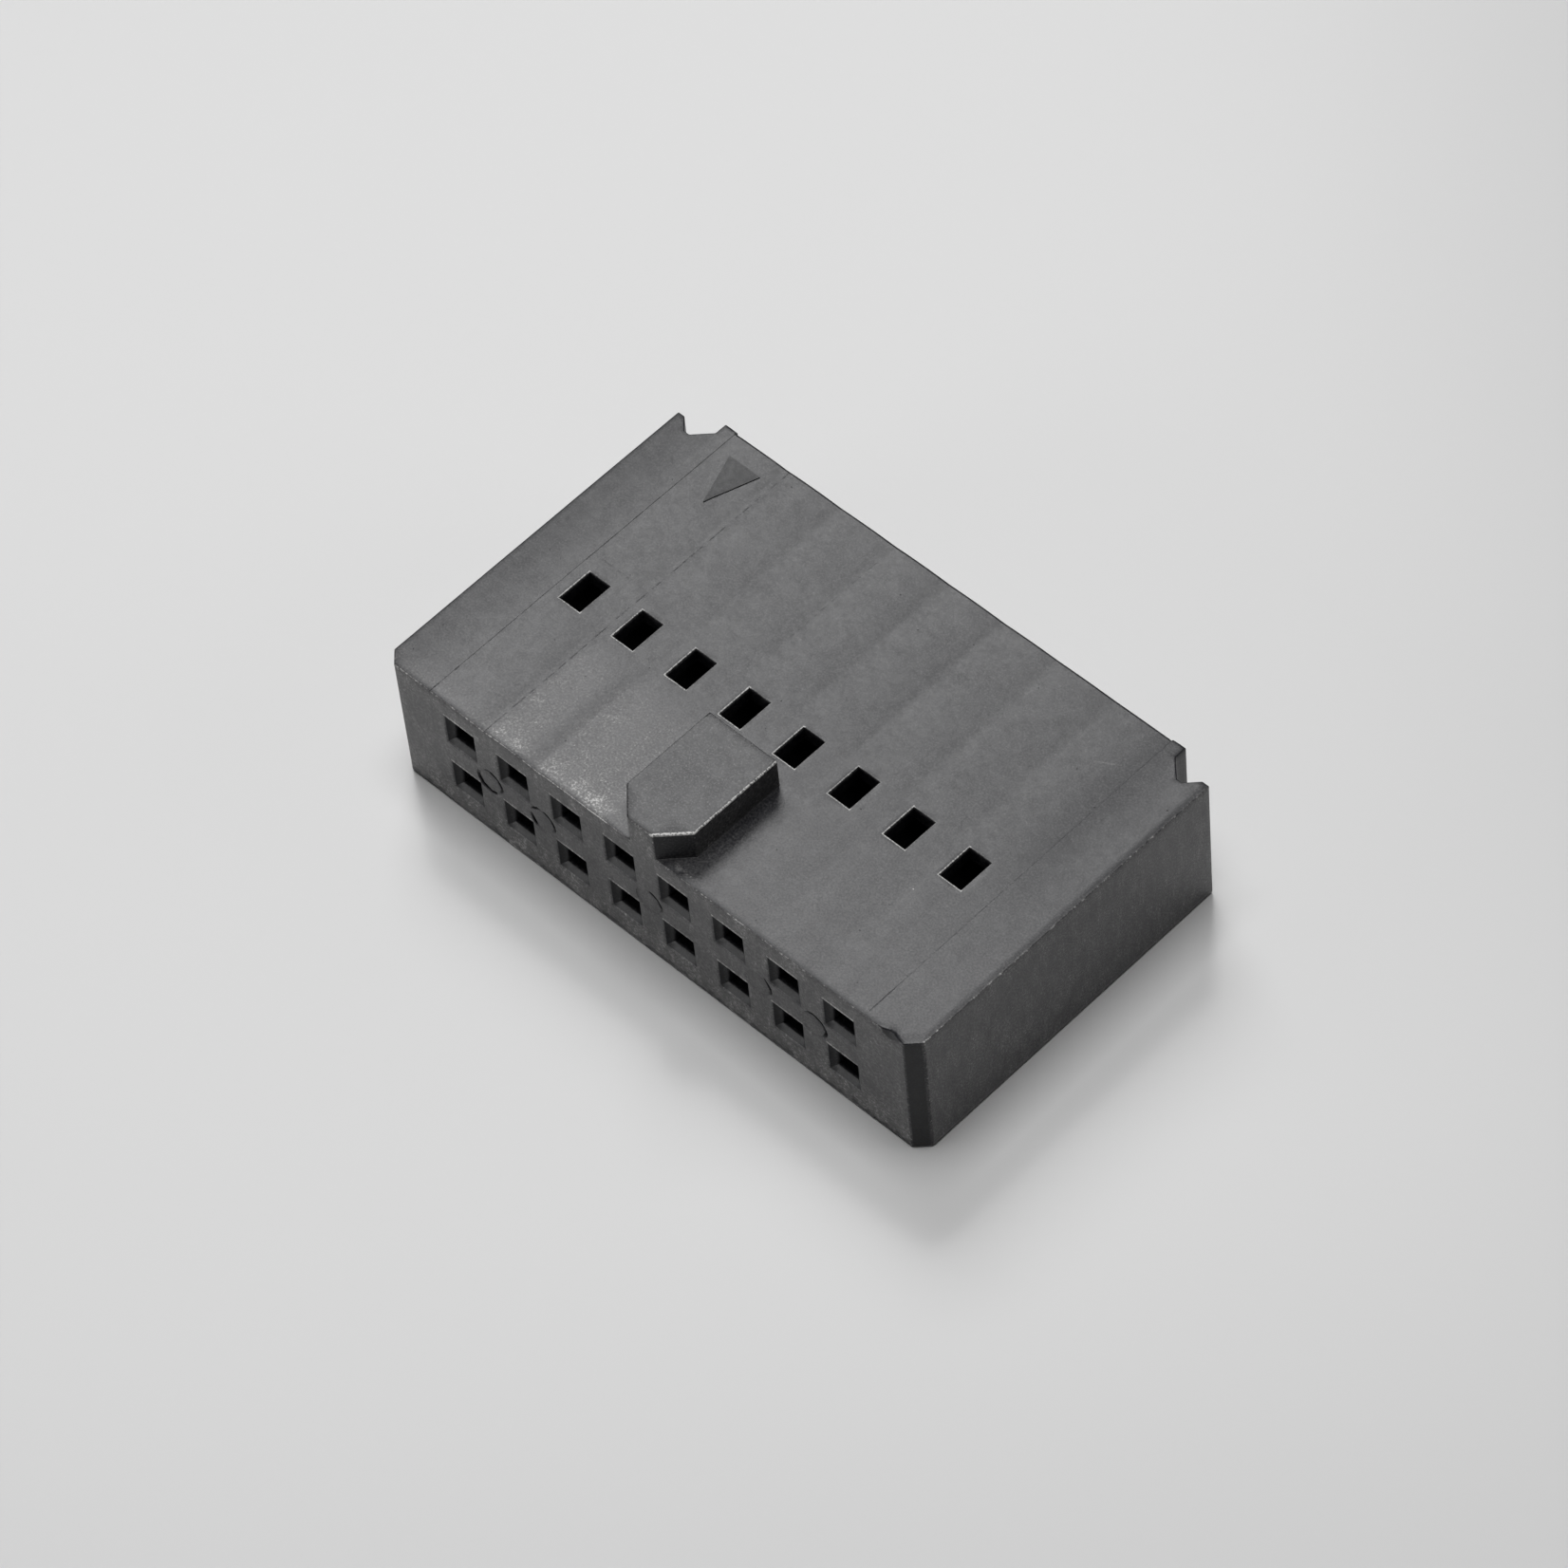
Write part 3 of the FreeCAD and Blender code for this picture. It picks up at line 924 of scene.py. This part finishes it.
plastic = {
    # Colours by tone: grime and painted shade, clean moulding, handled, dusty, rubbed and painted
    # highlight.
    "grime": (0.002, 0.002, 0.0025),
    "chalk": (0.55, 0.545, 0.535),
    "between": (
        (0.24, (0.0064, 0.0066, 0.0096)),
        (0.55, (0.055, 0.054, 0.056)),
        (0.75, (0.13, 0.129, 0.128)),
    ),
    "specular": 0.49,
    "noises": {
        # scale, detail, roughness and stretch
        "cloud": (0.55, 4.0, 0.55),
        "drawn": (1.0, 3.0, 0.5, (1.3, 0.22, 1.0)),
        "fine": (4.5, 4.0, 0.7),
        "patchy": (1.8, 2.0, 0.5),
        "grit": (13.0, 2.0, 0.6),
        "streaks": (1.0, 3.0, 0.6, (2.5, 2.5, 0.9)),
        "grain": (9.0, 3.0, 0.6),
        "swell": (3.0, 3.0, 0.6),
    },
    "edgeRub": {"Amount": 0.52},
    "chalkSpecks": {"Scale": 1.15, "Size": 0.05, "Share": 0.04},
    "pits": {"Scale": 2.1, "Size": 0.06, "Share": 0.22},
    "scratches": (
        # start, end, width, strength
        ((7.35, 4.25, 6.0), (9.45, 5.45, 6.0), 0.06, 0.35),
        ((-7.4, 0.95, 6.0), (-5.2, 0.7, 6.0), 0.5, 0.14),
        ((-2.8, 0.75, 6.0), (-1.7, 0.95, 6.0), 0.5, 0.14),
        ((-2.5, -6.9, 6.0), (-1.2, -7.0, 6.0), 0.4, 0.13),
        ((1.3, -7.4, 6.0), (2.1, -7.3, 6.0), 0.3, 0.6),
    ),
    # Places of the scuffed, dusty, lighter and duller areas, and of the front bands painted lighter, as in
    # finishes. A third value is the width over which a stripe fades.
    "handledRun": (-7.45, -1.8, 0.25),
    "handledFrom": (-1.9, -3.4),
    "sparedRun": (-5.7, -5.25, 0.35),
    "sparedShare": 0.85,
    "frontStripX": (4.0, -3.0),
    "frontStripY": (-6.3, -7.3),
    "hazeFrom": (1.0, -6.5),
    "upperFront": (4.9, 5.5),
    "lowerFront": (2.2, 0.7),
    "leftEnd": (-9.8, -12.0),
    "rightEndX": (9.6, 10.9, 0.8),
    "rightEndY": (-2.0, 2.5),
    # How much each noise or area adds to the tone, the grit and the blotches.
    "tone": 0.27,
    "toneOfNoise": {"cloud": 0.28, "drawn": 0.16, "fine": 0.2},
    "toneOfArea": {
        # The front face, the right end and the key's right side are painted lighter, and the pin entries
        # and front right corner chamfer darker, as light and shade on them.
        "dusty": 0.33, "haze": 0.1, "frontSkin": 0.3, "frontBand": 1.0, "onEnd": 0.27,
        "keySide": 0.25, "keyTop": -0.03, "inEntryOrCorner": -0.15, "streaked": 0.45,
    },
    "toneOfFrontBand": {"upperFront": 0.07, "lowerFront": 0.11},
    "gritOfArea": {"frontSkin": -0.15, "handled": 0.08, "keyTop": 0.9},
    "blotches": {"fine": 0.8, "patchy": 2.2},
    "dust": {"handled": 0.55, "frontStrip": 0.4},
    # Painted highlights are among the bright marks: the rims of the latch windows, the top edges of the key
    # and the lips over the pin entries.
    "bright": {
        "rubbed": 0.26, "chalkSpeck": 0.5, "windowRim": 0.55, "scratched": 1.0, "keyRim": 0.75,
        "raggedLip": 0.17,
    },
    # Painted shade is among the dark marks: the grooves round the ejector marks and the foot of the front
    # face.
    "dark": {
        "ring": 1.0, "foot": 0.8, "mark": 0.45, "pit": 0.8, "endRing": 0.12, "insertLine": 0.7,
    },
    "darkening": 0.3,  # of the tone, by the darkest mark or painted shade
    # The same for the roughness, and for the height of the bump in millimetres.
    "roughness": 0.332,
    "roughnessOfNoise": {"cloud": 0.1, "fine": 0.18, "patchy": 0.09, "dark": 0.18},
    "roughnessOfArea": {
        "leftRamp": 0.45, "corner": 0.25, "keyFlank": 0.3, "leftEnd": 0.07, "rightEnd": 0.08,
    },
    "height": {"grain": 0.006, "swell": 0.006, "raised": 0.006, "dark": -0.012},
    "bumpStrength": 0.6,
}


def handlingMasks(tree, choices, at):
    # Areas of the top that are scuffed by handling, dusty, lighter towards the front or duller, and the
    # bands of the front face that are painted lighter.
    handled = stripe(tree, at["x"], *choices["handledRun"])
    spared = product(tree, stripe(tree, at["x"], *choices["sparedRun"]), choices["sparedShare"])
    handled = product(tree, handled, rise(tree, at["y"], *choices["handledFrom"]), at["top"])
    stripY = rise(tree, at["y"], *choices["frontStripY"])
    rightEnd = stripe(tree, at["x"], *choices["rightEndX"])
    return {
        "handled": product(tree, handled, minus(tree, 1.0, spared)),
        "frontStrip": product(tree, at["top"], stripY, rise(tree, at["x"], *choices["frontStripX"])),
        # The top grows lighter towards its front.
        "haze": product(tree, rise(tree, at["y"], *choices["hazeFrom"]), at["top"]),
        "leftEnd": product(tree, rise(tree, at["x"], *choices["leftEnd"]), at["top"]),
        "rightEnd": product(tree, rightEnd, rise(tree, at["y"], *choices["rightEndY"]), at["top"]),
        "upperFront": rise(tree, at["z"], *choices["upperFront"]),
        "lowerFront": rise(tree, at["z"], *choices["lowerFront"]),
    }


def wearMasks(tree, choices, place, at):
    # Rubbed edges, specks, pits and scratches.
    wear = addNode(tree, "ShaderNodeAttribute", attribute_name="edgeWear").outputs["Fac"]
    rub = {"Place": place, "Wear": wear, **choices["edgeRub"]}
    rubbed = useGroup(tree, wearGroup(markChoices), rub)
    specks = speckGroup(markChoices)
    plan = addNode(tree, "ShaderNodeCombineXYZ", {0: at["x"], 1: at["y"]}).outputs[0]
    chalkSpeck = useGroup(tree, specks, {"Place": plan, **choices["chalkSpecks"]})
    pit = useGroup(tree, specks, {"Place": plan, **choices["pits"]})
    scratch = scratchGroup(markChoices)
    lines = []
    for start, end, width, strength in choices["scratches"]:
        line = useGroup(tree, scratch, {"Place": place, "Start": start, "End": end, "Width": width})
        lines.append(product(tree, line, strength))
    scratched = largest(tree, *lines)
    return {
        "rubbed": rubbed,
        "chalkSpeck": product(tree, chalkSpeck, at["top"]),
        "pit": product(tree, pit, at["top"]),
        "scratched": scratched,
        "raised": largest(tree, rubbed, scratched),
    }


def plasticTone(tree, choices, at):
    # 0 is grime and painted shade and 1 is chalk and painted highlight. The base tone, plus each noise and
    # area times its strength, plus the grit and the brightest mark or painted highlight, less the darkest
    # mark or painted shade.
    blotches = weighted(tree, 1.0, at, choices["blotches"])
    # Painted highlight along the lips over the pin entries, broken up by the blotches.
    at["raggedLip"] = product(tree, at["lip"], plus(tree, blotches, 0.5))
    at["dusty"] = product(tree, weighted(tree, 0.0, at, choices["dust"]), blotches)
    # Painted light: the front face is made lighter near its top and near its bottom.
    band = strongest(tree, at, choices["toneOfFrontBand"])
    at["frontBand"] = product(tree, at["frontSkin"], band)
    # Painted shade inside the pin entries and on the front right corner chamfer.
    at["inEntryOrCorner"] = largest(tree, at["inEntry"], at["corner"])
    upright = largest(tree, at["frontSkin"], at["onEnd"])
    at["streaked"] = product(tree, upright, at["streaks"])
    tone = weighted(tree, choices["tone"], at, choices["toneOfNoise"])
    tone = weighted(tree, tone, at, choices["toneOfArea"])
    gritty = weighted(tree, 1.0, at, choices["gritOfArea"])
    tone = plus(tree, tone, product(tree, at["grit"], gritty))
    tone = plus(tree, tone, strongest(tree, at, choices["bright"]))
    return minus(tree, tone, product(tree, at["dark"], choices["darkening"]), clamp=True)


def makePlastic(choices, sizes, finish):
    material, shader = addMaterial("blackMoulding")
    tree = material.node_tree
    shader.inputs["Specular IOR Level"].default_value = choices["specular"]
    place = addNode(tree, "ShaderNodeTexCoord").outputs["Object"]
    place = vectorMaths(tree, "SCALE", {0: place, "Scale": 1 / metresPerMm})
    at = surfaceMasks(tree, sizes, finish, place)
    for name, values in choices["noises"].items():
        # Each noise is moved to run evenly below and above 0.
        at[name] = minus(tree, noise(tree, place, *values), 0.5)
    at.update(handlingMasks(tree, choices, at))
    at.update(wearMasks(tree, choices, place, at))
    at["dark"] = strongest(tree, at, choices["dark"])

    ramp = addNode(tree, "ShaderNodeValToRGB", {"Fac": plasticTone(tree, choices, at)})
    stops = ramp.color_ramp.elements
    stops[0].color = (*choices["grime"], 1)
    stops[1].color = (*choices["chalk"], 1)
    for tone, colour in choices["between"]:
        stops.new(tone).color = (*colour, 1)
    feed(tree, ramp.outputs["Color"], shader.inputs["Base Color"])

    rough = weighted(tree, choices["roughness"], at, choices["roughnessOfNoise"])
    rough = plus(tree, rough, strongest(tree, at, choices["roughnessOfArea"]))
    feed(tree, rough, shader.inputs["Roughness"])

    bump = addNode(tree, "ShaderNodeBump", {
        "Height": weighted(tree, 0.0, at, choices["height"]),
        "Distance": metresPerMm,
        "Strength": choices["bumpStrength"],
    })
    feed(tree, bump.outputs["Normal"], shader.inputs["Normal"])
    return material


look.data.materials.append(makePlastic(plastic, housing, finishes))
print("plastic made")


studio = {
    "floorColour": (0.685, 0.685, 0.685),
    "floorRoughness": 0.19,
    "floorSpecular": 0.22,
    "worldStrength": 0.0,
    "tableReach": 3.0,  # metres from the middle
    "lamps": (
        # name, place, aim, size, power in watts
        ("ceilingPanel", (-15, 0, 420), (0, 0, 0), 200, 1.12),
        ("rearSoftbox", (-250, 185, 370), (0, 0, 0), 200, 0.75),
        ("lowFrontPanel", (-180, -360, 75), (0, 0, 0), 220, 0.26),
        ("rightPanel", (330, 240, 150), (0, 0, 0), 260, 0.165),
    ),
}


def makeStudio(choices):
    floorMesh = bpy.data.meshes.new("table")
    reach = choices["tableReach"]
    floorMesh.from_pydata(
        [(-reach, -reach, 0), (reach, -reach, 0), (reach, reach, 0), (-reach, reach, 0)],
        [], [(0, 1, 2, 3)],
    )
    floor = addObject("table", floorMesh)
    material, shader = addMaterial("paleTable")
    shader.inputs["Base Color"].default_value = (*choices["floorColour"], 1)
    shader.inputs["Roughness"].default_value = choices["floorRoughness"]
    shader.inputs["Specular IOR Level"].default_value = choices["floorSpecular"]
    floorMesh.materials.append(material)
    world = bpy.data.worlds.new("studio")
    world.use_nodes = True
    background = world.node_tree.nodes["Background"]
    background.inputs["Color"].default_value = (1, 1, 1, 1)
    background.inputs["Strength"].default_value = choices["worldStrength"]
    bpy.context.scene.world = world
    for name, place, aim, size, power in choices["lamps"]:
        data = bpy.data.lights.new(name, "AREA")
        data.size = size * metresPerMm
        data.energy = power
        lamp = addObject(name, data)
        lamp.location = Vector(place) * metresPerMm
        toward = Vector(aim) - Vector(place)
        lamp.rotation_euler = toward.to_track_quat("-Z", "Y").to_euler()


makeStudio(studio)
bpy.context.scene.view_settings.view_transform = "Standard"
print("studio made")
